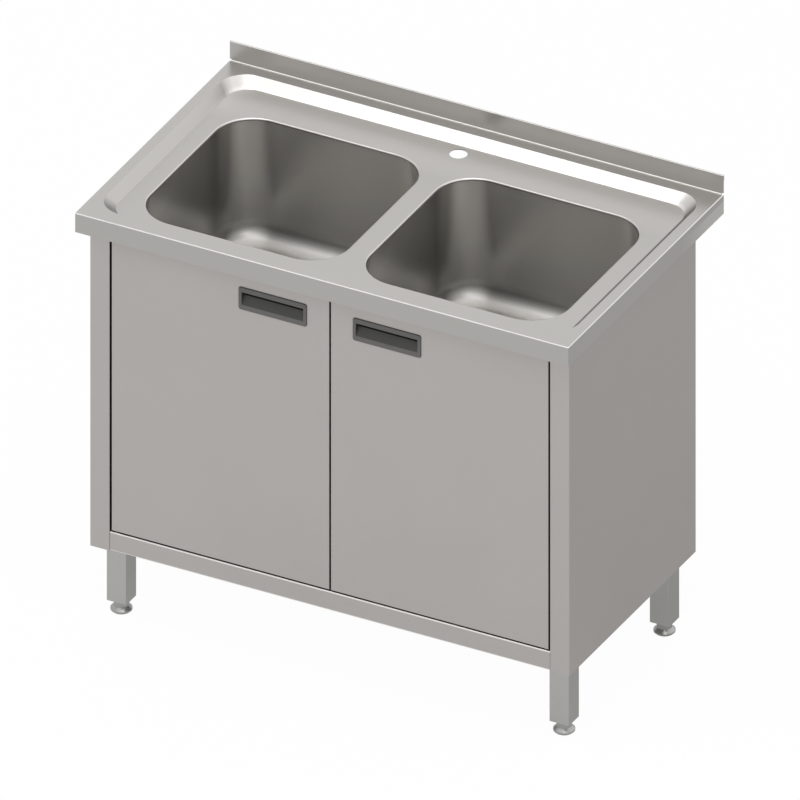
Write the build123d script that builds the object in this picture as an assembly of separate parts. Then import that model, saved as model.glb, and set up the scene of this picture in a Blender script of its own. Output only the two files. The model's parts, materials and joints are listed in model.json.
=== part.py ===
"""Stainless steel sink cabinet: two pressed bowls in a welled worktop over a two-door cupboard.

Millimetres, +Z up. The origin is on the floor at the centre of the unit's length and depth:
+X runs to the right seen from the front, +Y to the back. The doors face -Y.
"""

import os
from math import hypot, sqrt

from build123d import *

# ---------------------------------------------------------------- driving sizes
# Bowls, pressed from their own sheet and welded under the deck
bowl_length = 400.0          # along X, inside
bowl_width = 400.0           # along Y, inside
bowl_depth = 250.0           # from the deck to the bowl's floor
bowl_corner_radius = 75.0    # upright corners
bowl_floor_radius = 40.0     # walls into floor
bowl_sheet = 1.2
bowl_flange = 5.0            # weld flange round the bowl's mouth
bowl_divider = 46.0          # land between the two bowls
bowl_leg_gap = 0.5           # bowl flange to leg, sideways
bowl_front_gap = 6.0         # bowl flange to the plane of the front legs' faces
bowl_rear_gap = 10.0         # bowl flange to the plane of the rear legs' faces

# Worktop
worktop_height = 862.0       # floor to the rim, with the feet turned fully in
worktop_sheet = 1.5
apron_height = 40.0
apron_return = 12.0          # safety fold along the apron's lower edge
worktop_bend = 2.0           # outside bend radius of the rim's edges
upstand_height = 40.0        # above the rim
upstand_hem = 12.0           # fold down the back of the upstand
hem_round = 1.4              # fold along the upstand's top
relief_width = 3.5           # bend relief cut at each end of the upstand
relief_height = 3.0
well_depth = 18.0            # rim down to the deck
well_slope_run = 18.0        # a 45 degree slope
rim_side = 21.5              # rim widths, edge of the worktop to the well
rim_front = 33.3
rim_rear = 28.7
well_corner_radius = 50.0    # at the rim
mouth_bend = 3.5             # outside bend of the deck's edge into a bowl
mouth_collar = 5.5           # turned-down edge, from the deck's face
deck_corner_radius = 43.0    # at the foot of the slope
tap_hole_radius = 16.5
tap_hole_setback = 73.0      # from the back of the unit
tap_access_radius = 30.0     # room under the deck for the tap's nut

# Overhangs of the worktop past the cabinet
side_overhang = 14.5
front_overhang = 31.0
rear_overhang = 81.0

# Legs and feet
leg_width = 40.0
leg_wall = 1.5
leg_corner_radius = 2.0
leg_side_inset = 17.0        # cabinet side to leg
leg_end_inset = 31.0         # cabinet front or back to leg
leg_clearance = 26.0         # floor to the leg's lower end
plug_height = 25.0
plug_chamfer = 3.0
stem_radius = 5.0
stem_rise = 55.0             # above the leg's lower end
stem_socket = 16.0           # depth of the stem's seat in the pad
stem_chamfer = 1.0
pad_radius = 20.0
pad_sole_radius = 16.5
pad_rim_height = 3.2         # lower edge of the widest ring
pad_rim_width = 3.2
pad_shoulder_height = 12.6
neck_radius = 14.0
neck_gap = 0.3               # neck to the end of the leg, foot turned fully in

# Cabinet
cabinet_clearance = 152.0    # floor to the cabinet's lower edge
cabinet_sheet = 1.2
cabinet_bend = 1.8           # outside bend radius
panel_top_gap = 2.5          # side panel top to the underside of the deck
front_flange = 39.5          # side panel's face beside the door
front_recess = 1.2           # doors and shelf front behind the side panels' faces
flange_return = 18.0
rear_flange = 20.0
shelf_front_height = 40.0
shelf_return = 15.0
shelf_side_height = 25.0
shelf_bend = 3.0             # outside bend radius
shelf_slit = 0.3             # shelf front to side panel
back_slit = 0.8              # back to side panel
leg_slit = 0.3               # shelf cut-outs round the legs
stiffener_width = 40.0       # hat section under the shelf
stiffener_height = 24.0
stiffener_lip = 12.0
stiffener_end_gap = 20.0
service_width = 300.0        # cut-out in the back for pipes
service_height = 250.0
service_rise = 160.0         # shelf to the cut-out
service_radius = 10.0

# Rails under the worktop
rail_sheet = 1.5
rail_height = 30.0
side_rail_width = 25.0
front_rail_setback = 1.0     # behind the side panels' faces
front_rail_lip_drop = 6.0    # front lip stops this far below the deck
divider_rail_width = 28.0
divider_rail_height = 25.0

# Doors
door_gap = 3.0               # between the doors, above and below them
door_side_gap = 3.4          # door to the side panel's face
door_apron_gap = 4.0         # door top below the apron's lower edge
door_thickness = 18.0
door_sheet = 1.0
door_bend = 1.5
door_lining_edge = 8.0       # folded edge of the inner skin
lining_slit = 0.2

# Door pivots
pivot_inset = 8.0            # pin axis from the door's hinge edge, and from its face
pin_radius = 3.0
pin_clearance = 0.05
pin_engagement = 14.0        # pin inside the bush
pin_collar_radius = 3.9
pin_head_radius = 4.8
pin_head_height = 3.0
bush_radius = 5.0
bush_length = 16.0
bush_flange_radius = 5.8
bush_flange_thickness = 0.5
bush_slit = 0.1
nut_across_flats = 10.0
nut_height = 5.0
pin_thread_rise = 2.0        # thread past the nut

# Recessed pull handles
handle_length = 138.0
handle_height = 47.0
handle_corner = 4.5
handle_proud = 1.8
handle_edge_chamfer = 0.8
handle_inner_margin = 45.2   # from the door's free edge
handle_top_margin = 37.5     # from the door's top
bezel_side = 6.5             # bezel widths round the finger opening
bezel_top = 10.0
bezel_lap = 3.5              # bezel past the hole in the door
handle_wall = 2.0
pocket_depth = 14.5          # behind the door's face, outside
pocket_lip = 3.0             # thickness of the finger lip
pocket_undercut = 3.5        # cavity above the lip
pocket_ledge_depth = 9.0     # the floor slopes up to a ledge this far behind the bezel
pocket_ledge_drop = 9.8      # ledge below the opening's top
hole_slit = 0.2

# Magnetic catches
catch_length = 40.0
catch_height = 15.0
catch_depth = 10.5
catch_chamfer = 1.5
catch_inner_margin = 16.0    # from the middle of the unit
catch_air_gap = 0.3
ear_length = 8.0
ear_thickness = 3.0
strike_sheet = 1.0
strike_height = 12.0
strike_margin = 1.0          # below the door's top
screw_radius = 1.75
screw_head_radius = 3.5
screw_head_height = 1.8
screw_slit = 0.1
screw_rise = 3.5             # thread past the rail's sheet

# Wastes
waste_seat_gap = 1.0         # round the outlet's flange, in its dished seat
waste_seat_drop = 3.0
waste_seat_slope = 4.0
waste_hole_radius = 26.0
waste_flange_radius = 35.0
waste_flange_thickness = 1.5
tail_radius = 23.9
tail_wall = 2.4
tail_length = 70.0           # below the seat
tail_groove_width = 2.0      # thread run-out below the backnut
tail_groove_depth = 0.5
strainer_drop = 5.0
strainer_thickness = 1.5
strainer_slit = 0.2
strainer_ledge = 2.5
strainer_hole_radius = 2.6
strainer_inner_radius = 7.5
strainer_outer_radius = 15.0
gasket_radius = 33.0
gasket_thickness = 3.0
gasket_slit = 0.3
backnut_across_flats = 62.0
backnut_height = 8.0
backnut_clearance = 0.1

# Rivets through the back
rivet_radius = 1.6
rivet_head_radius = 4.0
rivet_end_radius = 2.6
rivet_head_height = 1.2
rivet_slit = 0.05
rivet_count = 3
rivet_end_margin = 60.0

# ---------------------------------------------------------------- worked-out places
leg_inner_x = bowl_divider / 2 + bowl_length + bowl_flange + bowl_leg_gap
leg_x = leg_inner_x + leg_width / 2
leg_outer_x = leg_inner_x + leg_width
side_x = leg_outer_x + leg_side_inset
half_length = side_x + side_overhang

bowl_run = bowl_front_gap + 2 * bowl_flange + bowl_width + bowl_rear_gap
half_depth = (front_overhang + 2 * leg_end_inset + bowl_run + rear_overhang) / 2
front_y = -half_depth + front_overhang
rear_y = half_depth - rear_overhang
face_y = front_y + front_recess
front_leg_face = front_y + leg_end_inset
rear_leg_face = rear_y - leg_end_inset
front_leg_y = front_leg_face + leg_width / 2
rear_leg_y = rear_leg_face - leg_width / 2
bowl_x = bowl_divider / 2 + bowl_length / 2
bowl_y = front_leg_face + bowl_front_gap + bowl_flange + bowl_width / 2
tap_hole_y = half_depth - tap_hole_setback

apron_bottom_z = worktop_height - apron_height
deck_z = worktop_height - well_depth
under_z = deck_z - worktop_sheet
mouth_z = deck_z - mouth_collar
bowl_floor_z = deck_z - bowl_depth
shelf_z = cabinet_clearance + shelf_front_height
panel_top_z = under_z - panel_top_gap

side_inner_x = side_x - cabinet_sheet
flange_edge_x = side_x - front_flange
shelf_end_x = flange_edge_x - shelf_slit
back_panel_y = rear_y - cabinet_sheet
back_inner_y = back_panel_y - cabinet_sheet

door_bottom_z = shelf_z + door_gap
door_top_z = apron_bottom_z - door_apron_gap
door_outer_x = flange_edge_x - door_side_gap
door_inner_x = door_gap / 2
door_back_y = face_y + door_thickness
rail_bottom_z = door_top_z + door_gap
pivot_x = door_outer_x - pivot_inset
pivot_y = face_y + pivot_inset

handle_x = door_inner_x + handle_inner_margin + handle_length / 2
handle_z = door_top_z - handle_top_margin - handle_height / 2
catch_x = catch_inner_margin + catch_length / 2
catch_front_y = door_back_y + strike_sheet + catch_air_gap
catch_screw_x = (catch_length + ear_length) / 2
catch_screw_y = catch_front_y + catch_depth / 2

seat_z = bowl_floor_z - waste_seat_drop
seat_under_z = seat_z - bowl_sheet
seat_radius = waste_flange_radius + waste_seat_gap
backnut_z = seat_under_z - gasket_thickness - backnut_height
tail_bore = tail_radius - tail_wall


# ---------------------------------------------------------------- shape helpers
def block(x, y, z):
    """A box between (low, high) pairs."""
    size = (x[1] - x[0], y[1] - y[0], z[1] - z[0])
    return Pos((x[0] + x[1]) / 2, (y[0] + y[1]) / 2, (z[0] + z[1]) / 2) * Box(*size)


def rounded_prism(length, width, radius, z):
    """An upright prism on the Z axis with rounded upright corners."""
    return extrude(Pos(0, 0, z[0]) * RectangleRounded(length, width, radius), z[1] - z[0])


def rod(radius, z, x=0.0, y=0.0):
    """An upright cylinder between two heights."""
    return Pos(x, y, (z[0] + z[1]) / 2) * Cylinder(radius, z[1] - z[0])


def turned(points):
    """A solid of revolution about Z from (radius, z) points."""
    return revolve(make_face(Plane.XZ * Polyline(*points, close=True)), Axis.Z)


def bent_sheet(plane, middle, sheet, bend, length):
    """Folded sheet whose section has its middle line along some points."""
    path = FilletPolyline(*middle, radius=bend - sheet / 2)
    return extrude(plane * trace(path, sheet), length)


def folded(plane, outside, sheet, bend, length):
    """Folded sheet lying to the left of the points along its outside, with square folds."""
    middle = []
    for index, (x, y) in enumerate(outside):
        before = direction(outside, max(index - 1, 0))
        after = direction(outside, min(index, len(outside) - 2))
        turns = before != after
        left_x = -before[1] - (after[1] if turns else 0)
        left_y = before[0] + (after[0] if turns else 0)
        middle.append((x + left_x * sheet / 2, y + left_y * sheet / 2))
    return bent_sheet(plane, middle, sheet, bend, length)


def direction(points, index):
    """Unit direction of a path's stretch."""
    (x0, y0), (x1, y1) = points[index], points[index + 1]
    length = hypot(x1 - x0, y1 - y0)
    return ((x1 - x0) / length, (y1 - y0) / length)


def across_x(part):
    """The mirror image on the other side of the unit."""
    return mirror(part, about=Plane.YZ)


def along_x(low):
    """Section plane for a profile drawn in (y, z) and run along +X."""
    return Plane.YZ.offset(low)


def along_y(low, high):
    """Section plane and length for a profile drawn in (x, z) between two places in Y."""
    return Plane.XZ.offset(-high), high - low


def edges_on(part, axis, at):
    """Edges centred on a plane across an axis."""
    return part.edges().filter_by_position(axis, at - 0.01, at + 0.01)


# ---------------------------------------------------------------- worktop
def well_block(grow, top, bottom):
    """The well's sloping space, or the outside of its skin when grown."""
    low, high = -half_depth + rim_front - grow, half_depth - rim_rear + grow
    length, width = 2 * (half_length - rim_side + grow), high - low
    shrink = 2 * well_slope_run
    upper = RectangleRounded(length, width, well_corner_radius + grow)
    lower = RectangleRounded(length - shrink, width - shrink, deck_corner_radius + grow)
    middle = (low + high) / 2
    return loft([Pos(0, middle, top) * upper, Pos(0, middle, bottom) * lower], ruled=True)


def rim_block(inset, bend):
    """Box of the rim and aprons with bent edges, ending at the upstand."""
    back = half_depth - worktop_sheet
    end_x, front, top = half_length - inset, -half_depth + inset, worktop_height - inset
    body = block((-end_x, end_x), (front, back), (apron_bottom_z, top))
    bent = edges_on(body, Axis.Z, top).filter_by_position(Axis.Y, front - 0.01, back - 0.01)
    upright = edges_on(body, Axis.Y, front).filter_by(Axis.Z)
    return fillet(bent + upright, bend)


def upstand():
    """Rear upstand with its folded hem and the bend at its foot."""
    face, back = half_depth - 2 * worktop_sheet, half_depth - worktop_sheet
    top = worktop_height + upstand_height
    ends = (-half_length, half_length)
    sheet = block(ends, (face, back), (worktop_height - worktop_sheet, top))
    sheet += block(ends, (back, half_depth), (top - upstand_hem, top))
    sheet = fillet(edges_on(sheet, Axis.Z, top).filter_by(Axis.X), hem_round)
    centre = (0, face - worktop_bend, worktop_height + worktop_bend)
    foot = block(ends, (centre[1], face), (worktop_height, centre[2]))
    scoop = Pos(*centre) * Rot(0, 90, 0) * Cylinder(worktop_bend, 2 * half_length)
    return sheet + (foot - scoop)


def apron_folds():
    """Safety folds along the aprons' lower edges."""
    z = (apron_bottom_z, apron_bottom_z + worktop_sheet)
    end_x = half_length - worktop_bend
    front = block((-end_x, end_x), (-half_depth, -half_depth + apron_return), z)
    run = (-half_depth + worktop_bend, half_depth - worktop_sheet)
    side = block((half_length - apron_return, half_length), run, z)
    return front + side + across_x(side)


def mouth_edges(body, grow, z):
    """Edges at a height round both bowls' mouths, or round the mouths when grown."""
    x, y = bowl_x + bowl_length / 2 + grow, bowl_width / 2 + grow
    across = edges_on(body, Axis.Z, z).filter_by_position(Axis.X, -x - 0.01, x + 0.01)
    return across.filter_by_position(Axis.Y, bowl_y - y - 0.01, bowl_y + y + 0.01)


def mouth_block(grow, z):
    """Upright prisms of both bowls' mouths, or of their collars' outside when grown."""
    length, width = bowl_length + 2 * grow, bowl_width + 2 * grow
    body = Pos(bowl_x, bowl_y, 0) * rounded_prism(length, width, bowl_corner_radius + grow, z)
    return body + across_x(body)


def worktop():
    """Rim, aprons, upstand and pressed well in one sheet, with its cut-outs."""
    skin = worktop_sheet * (sqrt(2) - 1)
    body = rim_block(0, worktop_bend) - rim_block(worktop_sheet, worktop_bend - worktop_sheet)
    body += apron_folds() + upstand()
    body += well_block(skin, worktop_height - worktop_sheet, under_z)
    body -= well_block(0, worktop_height, deck_z)
    body += mouth_block(worktop_sheet, (mouth_z, under_z))
    body = fillet(mouth_edges(body, worktop_sheet, under_z), mouth_bend - worktop_sheet)
    body -= mouth_block(0, (mouth_z, deck_z))
    body = fillet(mouth_edges(body, 0, deck_z), mouth_bend)
    body -= rod(tap_hole_radius, (under_z, deck_z), 0, tap_hole_y)
    relief = block(
        (half_length - relief_width, half_length),
        (half_depth - 2 * worktop_sheet - relief_width, half_depth),
        (worktop_height - worktop_bend, worktop_height + relief_height),
    )
    return body - relief - across_x(relief)


# ---------------------------------------------------------------- bowls and wastes
def bowl_block(grow, z):
    """One bowl's inside, or its outside when grown."""
    length, width = bowl_length + 2 * grow, bowl_width + 2 * grow
    body = rounded_prism(length, width, bowl_corner_radius + grow, z)
    return fillet(edges_on(body, Axis.Z, z[0]), bowl_floor_radius + grow)


def bowl():
    """Pressed bowl with a weld flange and a dished seat for the waste."""
    body = bowl_block(bowl_sheet, (bowl_floor_z - bowl_sheet, mouth_z))
    body += rounded_prism(
        bowl_length + 2 * bowl_flange,
        bowl_width + 2 * bowl_flange,
        bowl_corner_radius + bowl_flange,
        (mouth_z - bowl_sheet, mouth_z),
    )
    brim, floor_under = seat_radius + waste_seat_slope, bowl_floor_z - bowl_sheet
    body += turned([(0, floor_under), (brim, floor_under), (seat_radius, seat_under_z), (0, seat_under_z)])
    body -= bowl_block(0, (bowl_floor_z, mouth_z))
    body -= turned([(0, bowl_floor_z), (brim, bowl_floor_z), (seat_radius, seat_z), (0, seat_z)])
    return body - rod(waste_hole_radius, (seat_under_z, seat_z))


def waste_outlet():
    """Flanged outlet with a ledge for the strainer and a long threaded tail."""
    end, top = seat_z - tail_length, seat_z + waste_flange_thickness
    ledge, ledge_radius = seat_z - strainer_drop, tail_bore - strainer_ledge
    groove, groove_radius = backnut_z - tail_groove_width, tail_radius - tail_groove_depth
    return turned([
        (tail_bore, end),
        (tail_radius, end),
        (tail_radius, groove),
        (groove_radius, groove),
        (groove_radius, backnut_z),
        (tail_radius, backnut_z),
        (tail_radius, seat_z),
        (waste_flange_radius, seat_z),
        (waste_flange_radius, seat_z + waste_flange_thickness / 2),
        (waste_flange_radius - waste_flange_thickness, top),
        (tail_radius, top),
        (tail_bore, seat_z),
        (tail_bore, ledge),
        (ledge_radius, ledge),
        (ledge_radius, ledge - strainer_thickness),
        (tail_bore, ledge - strainer_thickness - strainer_ledge),
    ])


def waste_strainer():
    """Drilled disc on the outlet's ledge."""
    low = seat_z - strainer_drop
    z = (low, low + strainer_thickness)
    hole = rod(strainer_hole_radius, z)
    disc = rod(tail_bore - strainer_slit, z) - hole
    for radius, count in ((strainer_inner_radius, 4), (strainer_outer_radius, 8)):
        disc -= PolarLocations(radius, count) * hole
    return disc


def waste_gasket():
    """Rubber ring under the bowl."""
    z = (seat_under_z - gasket_thickness, seat_under_z)
    return rod(gasket_radius, z) - rod(tail_radius + gasket_slit, z)


def waste_backnut():
    """Hexagon nut that clamps the outlet."""
    hexagon = RegularPolygon(backnut_across_flats / 2, 6, major_radius=False)
    hole = Circle(tail_radius + backnut_clearance)
    return extrude(Pos(0, 0, backnut_z) * (hexagon - hole), backnut_height)


# ---------------------------------------------------------------- legs and feet
def leg(x, y):
    """Square tube with rounded corners."""
    bore = leg_width - 2 * leg_wall
    outside = RectangleRounded(leg_width, leg_width, leg_corner_radius)
    inside = RectangleRounded(bore, bore, leg_corner_radius - leg_wall)
    return extrude(Pos(x, y, leg_clearance) * (outside - inside), under_z - leg_clearance)


def leg_plug(x, y):
    """Threaded insert pressed into the leg's end."""
    side, z = leg_width / 2 - leg_wall, (leg_clearance, leg_clearance + plug_height)
    body = chamfer(block((-side, side), (-side, side), z).edges().filter_by(Axis.Z), plug_chamfer)
    return Pos(x, y, 0) * (body - rod(stem_radius + pin_clearance, z))


def foot_pad(x, y):
    """Round adjustable foot with a neck under the leg and a seat for its stem."""
    neck_top = leg_clearance - neck_gap
    body = turned([
        (0, 0),
        (pad_sole_radius, 0),
        (pad_radius, pad_rim_height),
        (pad_radius, pad_rim_height + pad_rim_width),
        (neck_radius, pad_shoulder_height),
        (neck_radius, neck_top),
        (0, neck_top),
    ])
    seat = rod(stem_radius + pin_clearance, (neck_top - stem_socket, neck_top))
    return Pos(x, y, 0) * (body - seat)


def foot_stem(x, y):
    """Threaded stem of a foot, with a chamfered end."""
    low, high = leg_clearance - neck_gap - stem_socket, leg_clearance + stem_rise
    body = rod(stem_radius, (low, high), x, y)
    return chamfer(edges_on(body, Axis.Z, high), stem_chamfer)


# ---------------------------------------------------------------- cabinet
def side_panel():
    """Right-hand side in one folded sheet with its face beside the door."""
    outside = [
        (flange_edge_x, front_y + flange_return),
        (flange_edge_x, front_y),
        (side_x, front_y),
        (side_x, rear_y),
        (side_x - rear_flange, rear_y),
    ]
    height = panel_top_z - cabinet_clearance
    body = folded(Plane.XY.offset(cabinet_clearance), outside, cabinet_sheet, cabinet_bend, height)
    x, y = (leg_outer_x, side_inner_x), (front_leg_face, back_inner_y)
    body += block(x, y, (cabinet_clearance, cabinet_clearance + cabinet_sheet))
    body += block(x, y, (panel_top_z - cabinet_sheet, panel_top_z))
    for z in rivet_heights():
        body -= rivet_hole(z)
    return body


def back_panel():
    """Flat back with a cut-out for pipes."""
    end_x = side_inner_x - back_slit
    body = block((-end_x, end_x), (back_inner_y, back_panel_y), (cabinet_clearance, panel_top_z))
    middle_z = shelf_z + service_rise + service_height / 2
    outline = RectangleRounded(service_width, service_height, service_radius)
    body -= extrude(Plane.XZ.offset(-back_panel_y) * Pos(0, middle_z) * outline, cabinet_sheet)
    for z in rivet_heights():
        body -= rivet_hole(z) + across_x(rivet_hole(z))
    return body - tap_access()


def tap_access():
    """Room round the tap's shank for its nut, cut from what stands below the deck there."""
    return rod(tap_access_radius, (under_z - rail_height, under_z), 0, tap_hole_y)


def rivet_heights():
    """Heights of the rivets in each upright row."""
    low, high = cabinet_clearance + rivet_end_margin, panel_top_z - rivet_end_margin
    return [low + (high - low) * step / (rivet_count - 1) for step in range(rivet_count)]


def across_back(radius, y, z):
    """A cylinder along Y on the right-hand row of rivets."""
    centre = (side_x - rear_flange / 2, (y[0] + y[1]) / 2, z)
    return Pos(*centre) * Rot(90, 0, 0) * Cylinder(radius, y[1] - y[0])


def rivet_hole(z):
    """Hole through the back and the side's rear flange."""
    return across_back(rivet_radius + rivet_slit, (back_inner_y, rear_y), z)


def rivet(z):
    """Blind rivet with its head outside and its upset end inside."""
    body = across_back(rivet_radius, (back_inner_y - rivet_head_height, rear_y + rivet_head_height), z)
    body += across_back(rivet_head_radius, (rear_y, rear_y + rivet_head_height), z)
    return body + across_back(rivet_end_radius, (back_inner_y - rivet_head_height, back_inner_y), z)


def bottom_shelf():
    """Shelf with the rail below the doors folded from its front edge."""
    low = cabinet_clearance
    outside = [
        (back_inner_y - shelf_return, low),
        (back_inner_y, low),
        (back_inner_y, shelf_z),
        (face_y, shelf_z),
        (face_y, low),
        (face_y + shelf_return, low),
    ]
    body = folded(along_x(-shelf_end_x), outside, cabinet_sheet, shelf_bend, 2 * shelf_end_x)
    y = (front_y + flange_return + shelf_slit, back_inner_y - shelf_bend)
    wing = block((shelf_end_x, side_inner_x), y, (shelf_z - cabinet_sheet, shelf_z))
    edge = (side_inner_x - cabinet_sheet, side_inner_x)
    wing += block(edge, y, (shelf_z - shelf_side_height, shelf_z))
    body += wing + across_x(wing)
    width = leg_width + 2 * leg_slit
    z = (shelf_z - cabinet_sheet, shelf_z)
    hole = rounded_prism(width, width, leg_corner_radius + leg_slit, z)
    for x, y in leg_places():
        body -= Pos(x, y, 0) * hole
    for x in (-pivot_x, pivot_x):
        body -= rod(pin_radius + pin_clearance, z, x, pivot_y)
    return body


def shelf_stiffener():
    """Hat section under the middle of the shelf."""
    top = shelf_z - cabinet_sheet * 1.5
    half, bottom = stiffener_width / 2, shelf_z - stiffener_height
    middle_y = (front_leg_y + rear_leg_y) / 2
    middle = [
        (middle_y - half - stiffener_lip, top),
        (middle_y - half, top),
        (middle_y - half, bottom),
        (middle_y + half, bottom),
        (middle_y + half, top),
        (middle_y + half + stiffener_lip, top),
    ]
    end_x = shelf_end_x - stiffener_end_gap
    return bent_sheet(along_x(-end_x), middle, cabinet_sheet, cabinet_bend, 2 * end_x)


# ---------------------------------------------------------------- rails under the worktop
def open_channel(plane, low, high, bottom, length):
    """Channel with its mouth against the underside of the deck."""
    outside = [(low, under_z), (low, bottom), (high, bottom), (high, under_z)]
    return folded(plane, outside, rail_sheet, worktop_bend, length)


def front_top_rail():
    """Channel over the doors that carries their upper pins and catches."""
    front = front_y + front_rail_setback
    body = open_channel(
        along_x(-flange_edge_x), front, front_leg_face, rail_bottom_z, 2 * flange_edge_x
    )
    lip = (front, front + rail_sheet)
    body -= block((-flange_edge_x, flange_edge_x), lip, (under_z - front_rail_lip_drop, under_z))
    z = (rail_bottom_z, rail_bottom_z + rail_sheet)
    for x in (-pivot_x, pivot_x):
        body -= rod(pin_radius + pin_clearance, z, x, pivot_y)
    for x in catch_screw_places():
        body -= rod(screw_radius + screw_slit, z, x, catch_screw_y)
    return body


def rear_top_rail():
    """Channel behind the rear legs."""
    plane, bottom = along_x(-leg_outer_x), under_z - rail_height
    body = open_channel(plane, rear_leg_face, back_inner_y, bottom, 2 * leg_outer_x)
    return body - tap_access()


def side_top_rail():
    """Right-hand channel from the front leg to the rear leg."""
    plane, length = along_y(front_leg_face + leg_width, rear_leg_face - leg_width)
    low, high = leg_x - side_rail_width / 2, leg_x + side_rail_width / 2
    return open_channel(plane, low, high, under_z - rail_height, length)


def divider_rail():
    """Channel between the bowls, from the front rail to the rear rail."""
    plane, length = along_y(front_leg_face, rear_leg_face)
    half = divider_rail_width / 2
    return open_channel(plane, -half, half, under_z - divider_rail_height, length)


# ---------------------------------------------------------------- doors
def door_outer_skin():
    """Right-hand door's outer sheet, folded back on all four sides."""
    x, z = (door_inner_x, door_outer_x), (door_bottom_z, door_top_z)
    body = block(x, (face_y, door_back_y), z)
    body = fillet(edges_on(body, Axis.Y, face_y), door_bend)
    inside_x = (x[0] + door_sheet, x[1] - door_sheet)
    inside_z = (z[0] + door_sheet, z[1] - door_sheet)
    body -= block(inside_x, (face_y + door_sheet, door_back_y), inside_z)
    body -= rod(bush_radius + bush_slit, (z[0], z[0] + door_sheet), pivot_x, pivot_y)
    body -= rod(bush_radius + bush_slit, (z[1] - door_sheet, z[1]), pivot_x, pivot_y)
    return body - handle_block(bezel_lap - hole_slit, (face_y, face_y + door_sheet))


def handle_block(lap, y):
    """Box behind the bezel, in by the lap all round."""
    half_l, half_h = handle_length / 2 - lap, handle_height / 2 - lap
    return block((handle_x - half_l, handle_x + half_l), y, (handle_z - half_h, handle_z + half_h))


def door_inner_skin():
    """Shallow tray that closes the back of the right-hand door."""
    inset = door_sheet + lining_slit
    x = (door_inner_x + inset, door_outer_x - inset)
    z = (door_bottom_z + inset, door_top_z - inset)
    body = block(x, (door_back_y - door_lining_edge, door_back_y), z)
    body -= block(
        (x[0] + door_sheet, x[1] - door_sheet),
        (door_back_y - door_lining_edge, door_back_y - door_sheet),
        (z[0] + door_sheet, z[1] - door_sheet),
    )
    for low, high in ((z[0], z[0] + door_sheet), (z[1] - door_sheet, z[1])):
        body -= rod(bush_radius + lining_slit, (low, high), pivot_x, pivot_y)
    return body


def bush(end, out):
    """Flanged plastic bush in the door's end at a height; out is +1 at the top, -1 below."""
    flange = sorted((end, end + out * bush_flange_thickness))
    barrel = sorted((end + out * bush_flange_thickness, end - out * bush_length))
    body = rod(bush_flange_radius, flange, pivot_x, pivot_y)
    body += rod(bush_radius, barrel, pivot_x, pivot_y)
    return body - rod(pin_radius + pin_clearance, barrel, pivot_x, pivot_y)


def door_bushes():
    """Upper and lower bush of the right-hand door."""
    return bush(door_top_z, 1) + bush(door_bottom_z, -1)


def lower_pivot_pin():
    """Pin with a collar that carries the door, through the shelf."""
    thread = shelf_z - cabinet_sheet - nut_height - pin_thread_rise
    collar = door_bottom_z - bush_flange_thickness
    body = rod(pin_radius, (thread, door_bottom_z + pin_engagement), pivot_x, pivot_y)
    return body + rod(pin_collar_radius, (shelf_z, collar), pivot_x, pivot_y)


def pivot_pin_nut():
    """Hexagon nut under the shelf."""
    hexagon = RegularPolygon(nut_across_flats / 2, 6, major_radius=False)
    outline = hexagon - Circle(pin_radius + pin_clearance)
    low = shelf_z - cabinet_sheet - nut_height
    return extrude(Pos(pivot_x, pivot_y, low) * outline, nut_height)


def upper_pivot_pin():
    """Headed pin dropped through the front rail into the door."""
    seat = rail_bottom_z + rail_sheet
    body = rod(pin_radius, (door_top_z - pin_engagement, seat), pivot_x, pivot_y)
    return body + rod(pin_head_radius, (seat, seat + pin_head_height), pivot_x, pivot_y)


def strike_plate():
    """Steel plate on the right-hand door's inner skin."""
    half, top = catch_length / 2, door_top_z - strike_margin
    x = (catch_x - half, catch_x + half)
    return block(x, (door_back_y, door_back_y + strike_sheet), (top - strike_height, top))


def magnetic_catch():
    """Right-hand catch under the front rail, with a screw ear at each end."""
    half, y = catch_length / 2, (catch_front_y, catch_front_y + catch_depth)
    x = (catch_x - half, catch_x + half)
    body = block(x, y, (rail_bottom_z - catch_height, rail_bottom_z))
    low_edges = edges_on(body, Axis.Z, rail_bottom_z - catch_height)
    body = chamfer(low_edges.filter_by(Axis.Y), catch_chamfer)
    ears = (x[0] - ear_length, x[1] + ear_length)
    body += block(ears, y, (rail_bottom_z - ear_thickness, rail_bottom_z))
    for side in (-1, 1):
        z = (rail_bottom_z - ear_thickness, rail_bottom_z)
        body -= rod(screw_radius + screw_slit, z, catch_x + side * catch_screw_x, catch_screw_y)
    return body


def catch_screw_places():
    """X of each catch screw, left to right."""
    right = [catch_x - catch_screw_x, catch_x + catch_screw_x]
    return [-x for x in reversed(right)] + right


def catch_screw(x):
    """Pan-head screw up through an ear and the rail."""
    head = rail_bottom_z - ear_thickness
    body = rod(screw_radius, (head, rail_bottom_z + rail_sheet + screw_rise), x, catch_screw_y)
    return body + rod(screw_head_radius, (head - screw_head_height, head), x, catch_screw_y)


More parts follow.
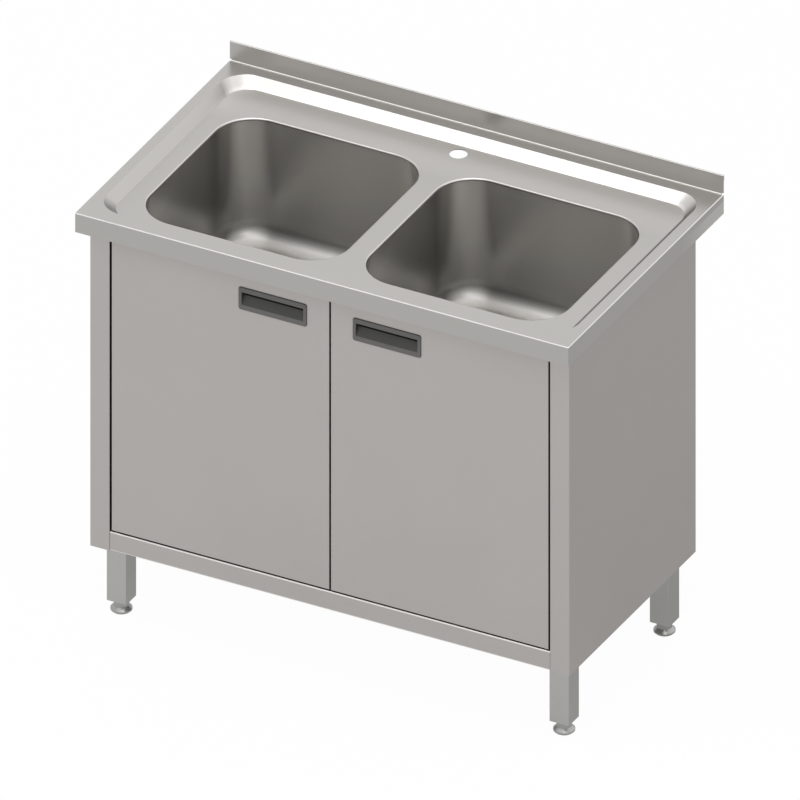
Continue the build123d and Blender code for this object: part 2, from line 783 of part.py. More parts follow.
def handle():
    """Recessed plastic pull of the right-hand door: bezel, finger lip and a pocket with a ledge."""
    bezel_y = face_y - handle_proud
    outline = Pos(handle_x, handle_z) * RectangleRounded(handle_length, handle_height, handle_corner)
    bezel = extrude(Plane.XZ.offset(-face_y) * outline, handle_proud)
    bezel = chamfer(edges_on(bezel, Axis.Y, bezel_y), handle_edge_chamfer)
    body = bezel + handle_block(bezel_lap, (face_y, face_y + pocket_depth))
    half = handle_height / 2 - bezel_top
    back = face_y + pocket_depth - handle_wall
    lip, top = bezel_y + pocket_lip, handle_z + half + pocket_undercut
    ledge_z = handle_z + half - pocket_ledge_drop
    section = [
        (bezel_y, handle_z - half),
        (bezel_y + pocket_ledge_depth, ledge_z),
        (back, ledge_z),
        (back, top),
        (lip, top),
        (lip, handle_z + half),
        (bezel_y, handle_z + half),
    ]
    mouth = handle_length - 2 * bezel_side
    cavity = make_face(along_x(handle_x - mouth / 2) * Polyline(*section, close=True))
    return body - extrude(cavity, mouth, dir=(1, 0, 0))


# ---------------------------------------------------------------- assembly
def leg_places():
    """Leg centres: front left, front right, rear left, rear right."""
    return [(x, y) for y in (front_leg_y, rear_leg_y) for x in (-leg_x, leg_x)]


def pair(part):
    """A right-hand piece and its mirror image in one node."""
    return part + across_x(part)


def all_parts():
    """Every node's solid, by name."""
    parts = {
        "worktop": worktop(),
        "back_panel": back_panel(),
        "bottom_shelf": bottom_shelf(),
        "shelf_stiffener": shelf_stiffener(),
        "front_top_rail": front_top_rail(),
        "rear_top_rail": rear_top_rail(),
        "divider_rail": divider_rail(),
        "lower_pivot_pins": pair(lower_pivot_pin()),
        "pivot_pin_nuts": pair(pivot_pin_nut()),
        "upper_pivot_pins": pair(upper_pivot_pin()),
        "catch_screws": Compound([catch_screw(x) for x in catch_screw_places()]),
        "back_rivets": Compound([pair(rivet(z)) for z in rivet_heights()]),
    }
    handed = {
        "side_panel": side_panel(),
        "side_top_rail": side_top_rail(),
        "magnetic_catch": magnetic_catch(),
        "door_outer_skin": door_outer_skin(),
        "door_inner_skin": door_inner_skin(),
        "door_bushes": door_bushes(),
        "strike_plate": strike_plate(),
        "door_handle": handle(),
    }
    for name, part in handed.items():
        parts[f"right_{name}"] = part
        parts[f"left_{name}"] = across_x(part)
    under_bowl = {
        "bowl": bowl(),
        "waste_outlet": waste_outlet(),
        "waste_strainer": waste_strainer(),
        "waste_gasket": waste_gasket(),
        "waste_backnut": waste_backnut(),
    }
    for side, x in (("left", -bowl_x), ("right", bowl_x)):
        for name, part in under_bowl.items():
            parts[f"{side}_{name}"] = Pos(x, bowl_y, 0) * part
    corners = ("front_left", "front_right", "rear_left", "rear_right")
    for corner, (x, y) in zip(corners, leg_places()):
        parts[f"{corner}_leg"] = leg(x, y)
        parts[f"{corner}_leg_plug"] = leg_plug(x, y)
        parts[f"{corner}_foot_pad"] = foot_pad(x, y)
        parts[f"{corner}_foot_stem"] = foot_stem(x, y)
    return parts


def main():
    os.makedirs("parts", exist_ok=True)
    for name, part in all_parts().items():
        export_step(part, f"parts/{name}.step")
    print("length", 2 * half_length, "depth", 2 * half_depth, "bowl floor", bowl_floor_z)
    print("pivot", pivot_x, pivot_y, "door", door_bottom_z, door_top_z, "under deck", under_z)


main()
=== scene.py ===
"""Looks of the stainless steel sink cabinet: materials, fine detail, camera, light and floor."""
import json
from math import cos, pi, radians, sin

import bpy
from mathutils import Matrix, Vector


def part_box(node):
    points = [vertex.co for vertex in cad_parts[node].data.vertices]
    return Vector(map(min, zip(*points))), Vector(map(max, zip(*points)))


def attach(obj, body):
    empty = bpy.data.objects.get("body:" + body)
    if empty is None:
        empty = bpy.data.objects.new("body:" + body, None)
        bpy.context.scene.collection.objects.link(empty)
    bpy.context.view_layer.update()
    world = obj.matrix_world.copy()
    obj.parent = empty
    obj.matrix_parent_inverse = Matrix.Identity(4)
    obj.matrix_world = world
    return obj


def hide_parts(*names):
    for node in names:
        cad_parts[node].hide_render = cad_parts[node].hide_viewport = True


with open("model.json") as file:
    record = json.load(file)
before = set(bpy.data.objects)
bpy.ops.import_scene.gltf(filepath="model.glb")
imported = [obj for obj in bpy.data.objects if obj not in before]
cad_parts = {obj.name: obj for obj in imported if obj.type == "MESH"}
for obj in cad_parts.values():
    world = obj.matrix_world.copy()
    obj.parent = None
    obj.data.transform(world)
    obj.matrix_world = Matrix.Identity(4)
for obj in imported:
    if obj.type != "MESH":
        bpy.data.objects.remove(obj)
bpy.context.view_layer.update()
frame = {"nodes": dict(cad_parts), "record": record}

nodes = frame["nodes"]

# ---------------------------------------------------------------- camera
AZIMUTH = radians(27.758)        # the camera stands to the right of the front
ELEVATION = radians(31.275)
VIEW_WIDTH = 1.4342              # metres across the square picture
AIM_RIGHT = 0.00093              # the aimed point, from the origin along the picture's axes
AIM_UP = 0.3843
CAMERA_DISTANCE = 6.0

RIGHT = Vector((cos(AZIMUTH), sin(AZIMUTH), 0))
UP = Vector((-sin(AZIMUTH) * sin(ELEVATION), cos(AZIMUTH) * sin(ELEVATION), cos(ELEVATION)))
BACK = RIGHT.cross(UP)


def make_camera():
    """A parallel view at the photograph's angle and scale."""
    data = bpy.data.cameras.new("camera")
    data.type = "ORTHO"
    data.ortho_scale = VIEW_WIDTH
    data.clip_end = 3 * CAMERA_DISTANCE
    camera = bpy.data.objects.new("camera", data)
    bpy.context.scene.collection.objects.link(camera)
    camera.location = RIGHT * AIM_RIGHT + UP * AIM_UP + BACK * CAMERA_DISTANCE
    camera.rotation_euler = BACK.to_track_quat("Z", "Y").to_euler()
    bpy.context.scene.camera = camera


# ---------------------------------------------------------------- node helpers
SHARP = 0.0002                   # half the width of a step that looks sharp


class Tree:
    """Short calls for building one node tree."""

    def __init__(self, tree):
        self.tree = tree
        tree.nodes.clear()

    def add(self, kind, inputs=None, **settings):
        """A node with its settings, and its inputs linked or set."""
        node = self.tree.nodes.new(kind)
        for name, value in settings.items():
            setattr(node, name, value)
        for name, value in (inputs or {}).items():
            if isinstance(value, bpy.types.NodeSocket):
                self.tree.links.new(value, node.inputs[name])
            else:
                node.inputs[name].default_value = value
        return node

    def out(self, kind, inputs=None, output=0, **settings):
        return self.add(kind, inputs, **settings).outputs[output]

    def coordinate(self, kind):
        return self.out("ShaderNodeTexCoord", output=kind)

    def axes(self, vector):
        """The X, Y and Z of a vector, by name."""
        return self.add("ShaderNodeSeparateXYZ", {"Vector": vector}).outputs

    def turn(self):
        """The X, Y and Z of the face's normal, by name."""
        return self.axes(self.coordinate("Normal"))

    def math(self, operation, a, b=0.0):
        return self.out("ShaderNodeMath", {0: a, 1: b}, operation=operation)

    def vector(self, operation, a, b):
        return self.out("ShaderNodeVectorMath", {0: a, 1: b}, operation=operation)

    def times(self, first, second):
        return self.math("MULTIPLY", first, second)

    def plus(self, first, second):
        return self.math("ADD", first, second)

    def minus(self, value):
        return self.times(value, -1.0)

    def one_less(self, value):
        """1 minus the value."""
        return self.math("SUBTRACT", 1.0, value)

    def size(self, value):
        """The value without its sign."""
        return self.math("ABSOLUTE", value)

    def mapped(self, value, low, high):
        """A 0 to 1 value spread from low to high."""
        return self.ranged(value, 0.0, 1.0, low, high)

    def ranged(self, value, start, end, low, high, **settings):
        """A value from start to end spread from low to high, and held beyond them."""
        inputs = {"Value": value, "From Min": start, "From Max": end, "To Min": low, "To Max": high}
        return self.out("ShaderNodeMapRange", inputs, **settings)

    def eased(self, value, start, end, high=1.0):
        """Like ranged, from 0, with rounded ends."""
        return self.ranged(value, start, end, 0.0, high, interpolation_type="SMOOTHSTEP")

    def above(self, value, limit, soft=SHARP):
        """1 where the value is over the limit, 0 below it, with a soft step."""
        return self.ranged(value, limit - soft, limit + soft, 0.0, 1.0)

    def between(self, share, first, second):
        """The first value at a share of 0, the second at 1."""
        return self.plus(first, self.times(share, self.math("SUBTRACT", second, first)))

    def noise(self, vector, scale, detail, roughness):
        inputs = {"Vector": vector, "Scale": scale, "Detail": detail, "Roughness": roughness}
        return self.out("ShaderNodeTexNoise", inputs, output="Fac")

    def along(self, vector, direction):
        """How far a vector goes along a direction."""
        inputs = {0: vector, 1: direction}
        return self.out("ShaderNodeVectorMath", inputs, output="Value", operation="DOT_PRODUCT")

    def tint(self, value, dark, light):
        """A colour between dark and light by a 0 to 1 value."""
        ramp = self.add("ShaderNodeValToRGB", {"Fac": value})
        ramp.color_ramp.elements[0].color = (*dark, 1)
        ramp.color_ramp.elements[1].color = (*light, 1)
        return ramp.outputs["Color"]

    def dimmed(self, colour, factor):
        """A colour times one factor."""
        return self.out("ShaderNodeVectorMath", {0: colour, "Scale": factor}, operation="SCALE")

    def bump(self, height, strength, distance):
        inputs = {"Height": height, "Strength": strength, "Distance": distance}
        return self.out("ShaderNodeBump", inputs, output="Normal")

    def surface(self, inputs):
        """Ends a material's tree with a principled shader."""
        shader = self.out("ShaderNodeBsdfPrincipled", inputs)
        self.add("ShaderNodeOutputMaterial", {"Surface": shader})

    def mixed(self, share, first, second):
        """The first shader at a share of 0, the second at 1."""
        return self.out("ShaderNodeMixShader", {"Fac": share, 1: first, 2: second})


def material(name):
    made = bpy.data.materials.new(name)
    made.use_nodes = True
    return made, Tree(made.node_tree)


def scaled(colour, factor):
    return tuple(channel * factor for channel in colour)


def grey(level):
    return (level, level, level)


# ---------------------------------------------------------------- bends, where a highlight is painted
# Steps are (limit, half the width) and go to above(). Turns are parts of the face's normal.
BEND_START = (0.14, 0.10)        # up and down turn where a bend leaves the upright face
BEND_END = (0.72, 0.08)          # and where it meets the level one
RIM_SIDE_BENDS = 0.490           # from the middle, in metres
RIM_END_BENDS = 0.285
SLOPE_EDGE_START = (0.80, 0.04)  # up turn of the edges of the well's left slope, which get a share of the painted highlight
SLOPE_EDGE_END = (0.965, 0.015)
SLOPE_EDGE_LEFT = (0.18, 0.04)   # right turn
SLOPE_EDGE_SHARE = 0.4
CABINET_FRONT = -0.255


def level_bends(t):
    """1 on bends between level and upright faces, 0 on the faces, by the normal."""
    tilt = t.size(t.turn()["Z"])
    return t.times(t.above(tilt, *BEND_START), t.one_less(t.above(tilt, *BEND_END)))


def outer_bend_highlight(t, place):
    """Where the worktop gets its painted highlight: the bends round it, and at a share the edges of
    the well's left slope.
    """
    axes, turn = t.axes(place), t.turn()
    sides = t.above(t.size(axes["X"]), RIM_SIDE_BENDS)
    ends = t.above(t.size(axes["Y"]), RIM_END_BENDS)
    outer = t.times(level_bends(t), t.math("MAXIMUM", sides, ends))
    past_edge = t.above(turn["Z"], *SLOPE_EDGE_END)
    edge = t.times(t.above(turn["Z"], *SLOPE_EDGE_START), t.one_less(past_edge))
    slope = t.times(edge, t.above(turn["X"], *SLOPE_EDGE_LEFT))
    return t.math("MAXIMUM", outer, t.times(slope, SLOPE_EDGE_SHARE))


def front_bend_highlight(t, place):
    """Where the cabinet gets its painted highlight: the bends at its front."""
    behind = t.above(t.axes(place)["Y"], CABINET_FRONT)
    return t.times(level_bends(t), t.one_less(behind))


# ---------------------------------------------------------------- painted shade and light of the worktop
WELL_RIGHT = (0.40, 0.01)        # the right part of the well, from the middle
RIGHT_SLOPE = (0.58, 0.08)       # left turn of the right slope
FRONT_SLOPE = (0.25, 0.20)       # back turn of the front slope
LEFT_SLOPE = (0.40, 0.20)        # right turn of the left slope
REAR_SLOPE = (0.20, 0.12)        # front turn of the rear slope
REAR_CORNERS = (0.16, 0.12)      # its sideways turn at the well's corners
FACES_UP = (0.30, 0.10)
DECK_TOP = (0.848, 0.002)
DECK_REAR = (0.185, 0.05)
# How far the painted shade dulls and the painted light brightens:
FRONT_SLOPE_SHARE = 0.75         # of the right slope's dulling
DULLEST = 0.27
REAR_STRIP_GAIN = 0.26
LEFT_SLOPE_GAIN = 0.06
CORNER_GAIN = 0.40


def well_painted_shade(t, place):
    """The worktop's painted shade and light, as a colour factor: duller right and front slopes,
    brighter left slope, back strip of the deck and rear corners.
    """
    turn, axes = t.turn(), t.axes(place)
    faces_up = t.above(turn["Z"], *FACES_UP)
    right = t.times(t.above(axes["X"], *WELL_RIGHT), t.above(t.minus(turn["X"]), *RIGHT_SLOPE))
    front = t.times(t.above(turn["Y"], *FRONT_SLOPE), faces_up)
    left = t.times(t.above(turn["X"], *LEFT_SLOPE), faces_up)
    rear = t.times(t.above(t.minus(turn["Y"]), *REAR_SLOPE), faces_up)
    corners = t.times(rear, t.above(t.size(turn["X"]), *REAR_CORNERS))
    on_deck = t.one_less(t.above(axes["Z"], *DECK_TOP))
    strip = t.times(on_deck, t.above(axes["Y"], *DECK_REAR))
    dulled = t.math("MAXIMUM", right, t.times(front, FRONT_SLOPE_SHARE))
    factor = t.mapped(dulled, 1.0, DULLEST)
    for share, gain in (
        (strip, REAR_STRIP_GAIN), (left, LEFT_SLOPE_GAIN), (corners, CORNER_GAIN),
    ):
        factor = t.plus(factor, t.mapped(share, 0.0, gain))
    return factor


# ---------------------------------------------------------------- painted shade and light of the bowls
# Ramps are (from, to, value at from, value at to) and go to ranged().
BOWL_LEFT = 0.423                # from the middle to the left bowl's left wall
BOWL_PITCH = 0.446               # from bowl to bowl
BACK_RISE = (0.65, 0.83, 0.0, 1.0)       # up the back wall
BACK_RISE_POWER = 1.3
BACK_SHADES = (0.48, 1.48)               # at the back wall's foot and top
BACK_ACROSS = (0.10, 0.33, 1.20, 0.86)   # along the back wall
BACK_CORNER = (0.05, 0.09, 0.88, 1.0)    # at its left end
LEAN_HEIGHT = 0.74                       # the side walls' slanting painted shade turns about this place
LEAN_DEPTH = 0.02
LEAN = (-0.007, 0.007, 0.70, 1.30)
SIDE_RISE = (0.65, 0.80, 0.68, 0.84)     # up the side walls
LOW = (0.64, 0.76, 1.0, 0.0)
NEAR = (-0.08, 0.04, 1.0, 0.0)
LOW_NEAR_SHADE = 0.70                    # where the side walls are both low and near
FLOOR_ROUNDING = (0.20, 0.55, 0.82, 0.62)
FLOOR_LEVEL = (0.85, 0.12)
FLOOR_GAIN = 0.70
PATCH_LEFT = (0.035, 0.085, 1.30, 0.85)  # painted patch of light and shade across the back of the floor
PATCH_RIGHT = (0.11, 0.20, 0.0, 0.17)
PATCH_DEPTH = (0.07, 0.11, 0.0, 1.0)
BACK_WALL = (0.35, 0.35)                 # front turn
OFF_WALL = (0.12, 0.12)                  # up turn


def back_wall_shade(t, axes, across):
    """Painted shade and light on the back wall: brighter up the wall and towards its left, with a
    duller left end.
    """
    rise = t.math("POWER", t.ranged(axes["Z"], *BACK_RISE), BACK_RISE_POWER)
    shade = t.times(t.mapped(rise, *BACK_SHADES), t.ranged(across, *BACK_ACROSS))
    return t.times(shade, t.ranged(across, *BACK_CORNER))


def side_wall_shade(t, axes):
    """A painted slanting shade on the side walls, duller where the wall is low and near."""
    deeper = t.math("SUBTRACT", LEAN_HEIGHT, axes["Z"])
    further = t.math("SUBTRACT", axes["Y"], LEAN_DEPTH)
    lean = t.ranged(t.times(deeper, further), *LEAN)
    low_near = t.times(t.ranged(axes["Z"], *LOW), t.ranged(axes["Y"], *NEAR))
    shade = t.times(t.ranged(axes["Z"], *SIDE_RISE), lean)
    return t.times(shade, t.mapped(low_near, 1.0, LOW_NEAR_SHADE))


def floor_shade(t, axes, turn, across):
    """Painted shade on the floor, duller where it rounds up into the walls, with a painted patch of
    light and shade at its back.
    """
    level = t.mapped(t.above(turn["Z"], *FLOOR_LEVEL), 0.0, FLOOR_GAIN)
    shade = t.plus(t.ranged(turn["Z"], *FLOOR_ROUNDING), level)
    patch = t.plus(t.ranged(across, *PATCH_LEFT), t.ranged(across, *PATCH_RIGHT))
    return t.times(shade, t.between(t.ranged(axes["Y"], *PATCH_DEPTH), 1.0, patch))


def bowl_painted_shade(t, place):
    """The bowls' painted shade and light as a colour factor, the same in both."""
    turn, axes = t.turn(), t.axes(place)
    across = t.math("MODULO", t.plus(axes["X"], BOWL_LEFT), BOWL_PITCH)
    faces_front = t.above(t.minus(turn["Y"]), *BACK_WALL)
    wall = t.between(faces_front, side_wall_shade(t, axes), back_wall_shade(t, axes, across))
    off_wall = t.above(turn["Z"], *OFF_WALL)
    return t.between(off_wall, wall, floor_shade(t, axes, turn, across))


# ---------------------------------------------------------------- painted shade of the cabinet
FACES_SIDEWAYS = (0.6, 0.2)
FRAME_SIDE_SHADE = 0.84
PANEL_SIDE_SHADE = 0.93


def side_shade(factor):
    """A painted shade: the factor on faces towards the left and right, and 1 elsewhere."""
    def shade(t, place):
        sideways = t.above(t.size(t.turn()["X"]), *FACES_SIDEWAYS)
        return t.mapped(sideways, 1.0, factor)
    return shade


# ---------------------------------------------------------------- materials
GRAIN_ACROSS = 900.0             # brushed lines to a metre, across and along the grain
GRAIN_ALONG = 6.0
GRAIN_NOISE = (1.0, 3.0, 0.6)    # scale, detail, roughness
GRAIN_DEPTH = 0.0001
SHEET_CLOUD = (5.0, 3.0, 0.55)
BEND_HIGHLIGHT = 0.36                      # painted highlight, brightness added on the bends
# Painted shade in corners and under overhangs, from ambient occlusion:
OCCLUSION_SHADE_REACH = 0.09
OCCLUSION_SHADE_SAMPLES = 8
DULL_TOP = 0.66                  # the bowls' floors get duller from here
DULL_BOTTOM = 0.60               # to here

PIT_NOISE = (900.0, 4.0, 0.6)
PIT_STRENGTH = 0.15
PIT_DEPTH = 0.0002
PIT_ROUGHNESS = 0.06
PLASTIC_CLOUD = (30.0, 2.0, 0.5)
PLASTIC_SPREAD = 0.08
POCKET_PAINTED_SHADE = 0.42
POCKET_FRONT = -0.2693           # painted shade on the pulls behind this plane


def steel(name, colour, roughness, grain_axis, grain=0.12, spread=0.03,
          bends=None, shade=None, corners=0.0, dull_floor=0.0):
    """Satin steel with a fine brushed grain along one axis; a painted highlight on the bends,
    painted shade and light from a factor, and painted shade in corners from ambient occlusion.
    """
    made, t = material(name)
    place = t.coordinate("Object")
    stretch = [GRAIN_ACROSS] * 3
    stretch["XYZ".index(grain_axis)] = GRAIN_ALONG
    lines = t.noise(t.vector("MULTIPLY", place, stretch), *GRAIN_NOISE)
    cloud = t.noise(place, *SHEET_CLOUD)
    base = t.tint(cloud, scaled(colour, 1 - spread), scaled(colour, 1 + spread))
    # Painted highlight: brightness added to the colour on the bends.
    if bends:
        base = t.vector("ADD", base, t.tint(bends(t, place), grey(0), grey(BEND_HIGHLIGHT)))
    # Painted shade and light: the colour times a factor by place and face direction.
    if shade:
        base = t.dimmed(base, shade(t, place))
    # Painted shade: the colour is darkened where ambient occlusion finds surfaces close by.
    if corners:
        reach = {"Distance": OCCLUSION_SHADE_REACH}
        sky = t.out("ShaderNodeAmbientOcclusion", reach, output="AO", samples=OCCLUSION_SHADE_SAMPLES)
        base = t.dimmed(base, t.mapped(sky, 1 - corners, 1.0))
    rough = t.mapped(lines, roughness - grain / 4, roughness + grain / 4)
    if dull_floor:
        height = t.axes(place)["Z"]
        rough = t.plus(rough, t.ranged(height, DULL_TOP, DULL_BOTTOM, 0.0, dull_floor))
    t.surface({
        "Base Color": base, "Metallic": 1.0, "Roughness": rough,
        "Normal": t.bump(lines, grain, GRAIN_DEPTH),
    })
    return made


def plastic(name, colour, roughness, behind=None):
    """Moulded plastic with a fine spark-eroded texture, with painted shade behind a depth."""
    made, t = material(name)
    place = t.coordinate("Object")
    pits = t.noise(place, *PIT_NOISE)
    cloud = t.noise(place, *PLASTIC_CLOUD)
    base = t.tint(cloud, scaled(colour, 1 - PLASTIC_SPREAD), scaled(colour, 1 + PLASTIC_SPREAD))
    # Painted shade: darker behind the depth, in the pulls' pockets.
    if behind:
        depth = t.above(t.axes(place)["Y"], behind)
        base = t.vector("MULTIPLY", base, t.tint(depth, grey(1), grey(POCKET_PAINTED_SHADE)))
    t.surface({
        "Base Color": base,
        "Roughness": t.mapped(pits, roughness - PIT_ROUGHNESS, roughness + PIT_ROUGHNESS),
        "Normal": t.bump(pits, PIT_STRENGTH, PIT_DEPTH),
    })
    return made


def build_materials():
    """Every finish by the name of its slot."""
    warm = (0.518, 0.492, 0.475)
    # bends, shade and corners put a painted highlight, painted shade and light, and painted shade
    # in corners into the steels' colours
    steels = {
        "worktop_steel": dict(colour=(0.485, 0.472, 0.456), roughness=0.32, grain_axis="X",
                              bends=outer_bend_highlight, shade=well_painted_shade),
        "bowl_steel": dict(colour=(0.505, 0.495, 0.476), roughness=0.33, grain_axis="Z",
                           grain=0.03, shade=bowl_painted_shade, dull_floor=0.10),
        "panel_steel": dict(colour=warm, roughness=0.36, grain_axis="Z", bends=front_bend_highlight,
                            shade=side_shade(PANEL_SIDE_SHADE), corners=0.3),
        "door_steel": dict(colour=warm, roughness=0.36, grain_axis="Z", corners=0.55),
        "frame_steel": dict(colour=(0.50, 0.495, 0.48), roughness=0.34, grain_axis="Z",
                            shade=side_shade(FRAME_SIDE_SHADE)),
        "foot_steel": dict(colour=(0.41, 0.41, 0.40), roughness=0.34, grain_axis="Z", grain=0.05),
        "thread_steel": dict(colour=(0.50, 0.50, 0.48), roughness=0.30, grain_axis="Z"),
        "waste_chrome": dict(colour=grey(0.80), roughness=0.10, grain_axis="Z"),
        "rivet_metal": dict(colour=grey(0.68), roughness=0.30, grain_axis="Y"),
    }
    plastics = {
        "plug_plastic": dict(colour=grey(0.03), roughness=0.55),
        "handle_plastic": dict(colour=(0.118, 0.115, 0.111), roughness=0.50,
                               behind=POCKET_FRONT),
        "bush_plastic": dict(colour=(0.72, 0.71, 0.66), roughness=0.40),
        "catch_plastic": dict(colour=(0.75, 0.75, 0.73), roughness=0.45),
        "nut_plastic": dict(colour=(0.80, 0.80, 0.78), roughness=0.45),
        "gasket_rubber": dict(colour=grey(0.025), roughness=0.70),
    }
    made = {name: steel(name, **look) for name, look in steels.items()}
    made.update({name: plastic(name, **look) for name, look in plastics.items()})
    return made


def dress_cad(materials):
    """Puts each record slot's finish on its CAD nodes."""
    for part in frame["record"]["subparts"]:
        mesh = nodes[part["node"]].data
        mesh.materials.clear()
        mesh.materials.append(materials[part["material_slot"]])


# ---------------------------------------------------------------- threads
STEM_PITCH = 0.0015              # M10
STEM_DEPTH = 0.0007
STEM_CHAMFER = 0.0010
TAIL_RADIUS = 0.0239             # outside of the waste outlets' tails
TAIL_PITCH = 0.0023              # pipe thread on the waste outlets' tails
TAIL_DEPTH = 0.0006
TAIL_CREST = 0.0004              # crest over the tail's wall
TAIL_OVERLAP = 0.0008            # the thread's inner wall, inside the tail's wall
TAIL_TOP = 0.5768                # run-out below the backnut
CREST_SHARE = 0.12               # of half a turn, flat at the crest
FLANK_SHARE = 0.70               # of half a turn, on a straight flank
ROWS_PER_TURN = 6
STEM_COLUMNS = 24
TAIL_COLUMNS = 64
SMOOTH_ANGLE = radians(32)       # folds over this stay sharp


def thread_depth(turn):
    """Share of the thread's depth at a share of a turn: flat crest, straight flanks, flat root."""
    away = abs(2 * (turn % 1.0) - 1)
    return min(max((away - CREST_SHARE) / FLANK_SHARE, 0.0), 1.0)


def ring_point(centre, radius, column, columns, z):
    """The point of a ring at one of its columns."""
    angle = 2 * pi * column / columns
    return (centre.x + radius * cos(angle), centre.y + radius * sin(angle), z)


def thread_rings(centre, low, high, crest, pitch, depth, columns, chamfer):
    """Rings of points round a helical thread that fades out over the last turn at each end."""
    rings = []
    count = round((high - low) / pitch * ROWS_PER_TURN)
    for row in range(count + 1):
        z = low + (high - low) * row / count
        fade = min(1.0, (z - low) / pitch, (high - z) / pitch)
        most = crest - max(0.0, chamfer - (high - z))
        ring = []
        for column in range(columns):
            cut = depth * fade * thread_depth(z / pitch - column / columns)
            ring.append(ring_point(centre, min(most, crest - cut), column, columns, z))
        rings.append(ring)
    return rings


def threaded(name, body, finish, centre, ends, crest, pitch, depth, columns,
             chamfer=0.0, bore=None):
    """A threaded rod, or a threaded sleeve round a bore, as one closed mesh."""
    rings = thread_rings(centre, *ends, crest, pitch, depth, columns, chamfer)
    bands = len(rings) - 1
    if bore:
        for z in reversed(ends):
            wall = [ring_point(centre, bore, column, columns, z) for column in range(columns)]
            rings.append(wall)
        bands = len(rings)
    points = [point for ring in rings for point in ring]
    total = len(points)
    faces = []
    for row in range(bands):
        here, there = row * columns, (row + 1) * columns
        for column in range(columns):
            after = (column + 1) % columns
            corners = (here + column, here + after, there + after, there + column)
            faces.append([corner % total for corner in corners])
    if not bore:
        faces.append(list(reversed(range(columns))))
        faces.append(list(range(total - columns, total)))
    mesh = bpy.data.meshes.new(name)
    mesh.from_pydata(points, [], faces)
    mesh.polygons.foreach_set("use_smooth", [True] * len(mesh.polygons))
    mesh.set_sharp_from_angle(angle=SMOOTH_ANGLE)
    mesh.materials.append(finish)
    piece = bpy.data.objects.new(name, mesh)
    bpy.context.scene.collection.objects.link(piece)
    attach(piece, body)
    return piece


def make_threads(materials):
    """Cut threads on the foot stems and on the waste outlets' tails."""
    for corner in ("front_left", "front_right", "rear_left", "rear_right"):
        low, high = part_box(f"{corner}_foot_stem")
        centre, radius = (low + high) / 2, (high.x - low.x) / 2
        stem = threaded(
            f"{corner}_threaded_stem", f"{corner}_foot", materials["thread_steel"],
            centre, (low.z, high.z), radius, STEM_PITCH, STEM_DEPTH, STEM_COLUMNS, STEM_CHAMFER,
        )
        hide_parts(f"{corner}_foot_stem")
    for side in ("left", "right"):
        low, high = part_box(f"{side}_waste_outlet")
        centre, ends = (low + high) / 2, (low.z + TAIL_OVERLAP, TAIL_TOP)
        threaded(
            f"{side}_waste_thread", "cabinet", materials["waste_chrome"],
            centre, ends, TAIL_RADIUS + TAIL_CREST, TAIL_PITCH, TAIL_DEPTH, TAIL_COLUMNS,
            bore=TAIL_RADIUS - TAIL_OVERLAP,
        )


# ---------------------------------------------------------------- floor, backdrop, light
FLOOR_SIZE = 12.0
FLOOR_CELLS = 8
FLOOR_NOISE = (3.0, 2.0, 0.5)
FLOOR_GREYS = (0.80, 0.82)
FLOOR_ROUGHNESS = 0.5
CAMERA_SHARE = 0.97              # how far the floor's shadow is washed towards white for the camera
MIRROR_SHARE = 0.60              # and for what metal shows of the floor
PAPER_TOWARDS = (-0.5, -0.87, 0.0)   # mirrored paper is lighter in front of the unit
PAPER_START = -0.6
PAPER_END = 0.3
PAPER_GAIN = 0.57
PAPER_GREYS = (0.50, 1.0)

SKY_SHARE = 1.0                  # of white that the camera is shown of the surroundings
SKY_MIRROR_SHARE = 0.25
REAR_LIGHT = (0.3, 0.8, 0.5)     # towards the lighter patch
REAR_LIGHT_EDGE = 0.30           # cosine of the angle where it ends
REAR_LIGHT_FULL = 0.97           # and where it is full
SKY_GREYS = (0.80, 1.15)

LAMP_PLACE = (0.0, -1.16, 3.06)
LAMP_TARGET = (0.0, -1.16, 0.0)
LAMP_SIZE = (3.8, 1.1)
LAMP_POWER = 34


def seen_share(t, camera_share, mirror_share):
    """1 for rays clear from the camera, and the share of plain background that a ray is shown."""
    path = t.add("ShaderNodeLightPath").outputs
    clear = t.math("MAXIMUM", path["Is Camera Ray"], path["Is Transmission Ray"])
    mirrored = t.times(path["Is Glossy Ray"], mirror_share)
    return clear, t.math("MAXIMUM", t.times(clear, camera_share), mirrored)


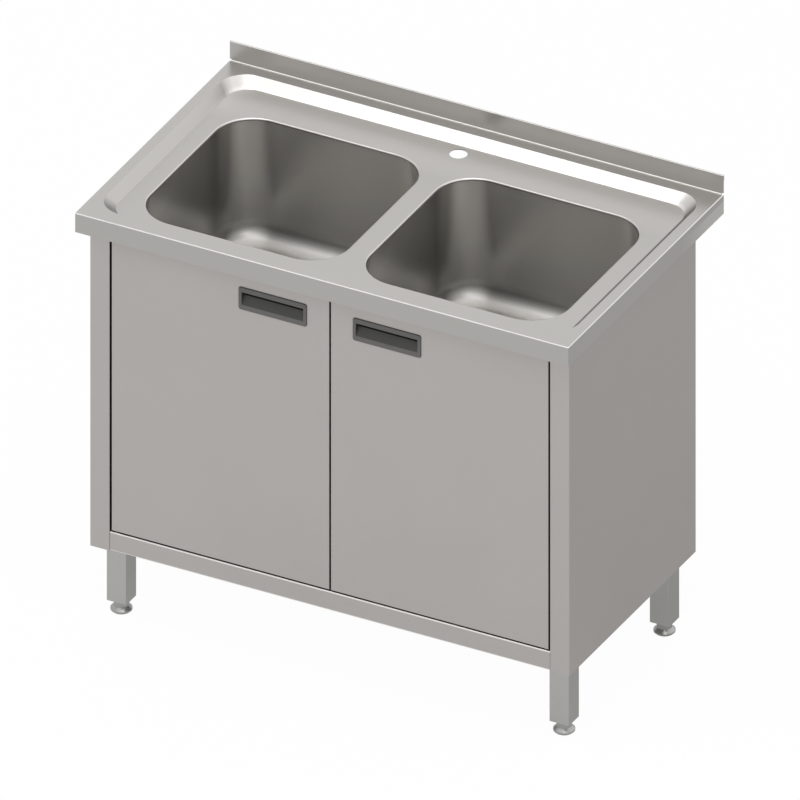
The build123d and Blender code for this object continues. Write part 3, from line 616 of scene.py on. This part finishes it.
def make_floor():
    """A pale floor that stays white round the object and keeps its shadow."""
    bpy.ops.mesh.primitive_grid_add(
        x_subdivisions=FLOOR_CELLS, y_subdivisions=FLOOR_CELLS, size=FLOOR_SIZE
    )
    floor = bpy.context.object
    floor.name = "floor"
    made, t = material("floor_paint")
    place = t.coordinate("Object")
    colour = t.tint(t.noise(place, *FLOOR_NOISE), *map(grey, FLOOR_GREYS))
    matte = t.out("ShaderNodeBsdfDiffuse", {"Color": colour, "Roughness": FLOOR_ROUGHNESS})
    clear, share = seen_share(t, CAMERA_SHARE, MIRROR_SHARE)
    front = t.eased(t.along(place, PAPER_TOWARDS), PAPER_START, PAPER_END, PAPER_GAIN)
    paper = t.tint(t.math("MAXIMUM", front, clear), *map(grey, PAPER_GREYS))
    white = t.out("ShaderNodeEmission", {"Color": paper, "Strength": 1.0})
    t.add("ShaderNodeOutputMaterial", {"Surface": t.mixed(share, matte, white)})
    floor.data.materials.append(made)


def make_world():
    """Soft grey surroundings, lighter towards the rear right, seen as white by the camera."""
    world = bpy.data.worlds.new("studio")
    bpy.context.scene.world = world
    world.use_nodes = True
    t = Tree(world.node_tree)
    towards = t.along(t.coordinate("Generated"), Vector(REAR_LIGHT).normalized())
    rear = t.eased(towards, REAR_LIGHT_EDGE, REAR_LIGHT_FULL)
    sky = t.tint(rear, *map(grey, SKY_GREYS))
    lit = t.out("ShaderNodeBackground", {"Color": sky, "Strength": 1.0})
    white = t.out("ShaderNodeBackground", {"Color": (*grey(1), 1), "Strength": 1.0})
    share = seen_share(t, SKY_SHARE, SKY_MIRROR_SHARE)[1]
    t.add("ShaderNodeOutputWorld", {"Surface": t.mixed(share, lit, white)})


def make_lamp():
    """A rectangular soft box overhead that faces straight down in front of the unit."""
    data = bpy.data.lights.new("overhead", "AREA")
    data.shape = "RECTANGLE"
    data.size, data.size_y = LAMP_SIZE
    data.energy = LAMP_POWER
    lamp = bpy.data.objects.new("overhead", data)
    bpy.context.scene.collection.objects.link(lamp)
    lamp.location = LAMP_PLACE
    facing = Vector(LAMP_PLACE) - Vector(LAMP_TARGET)
    lamp.rotation_euler = facing.to_track_quat("Z", "Y").to_euler()


# ---------------------------------------------------------------- the scene
def main():
    bpy.context.scene.view_settings.view_transform = "Standard"
    make_camera()
    make_floor()
    make_world()
    make_lamp()
    materials = build_materials()
    dress_cad(materials)
    make_threads(materials)


main()
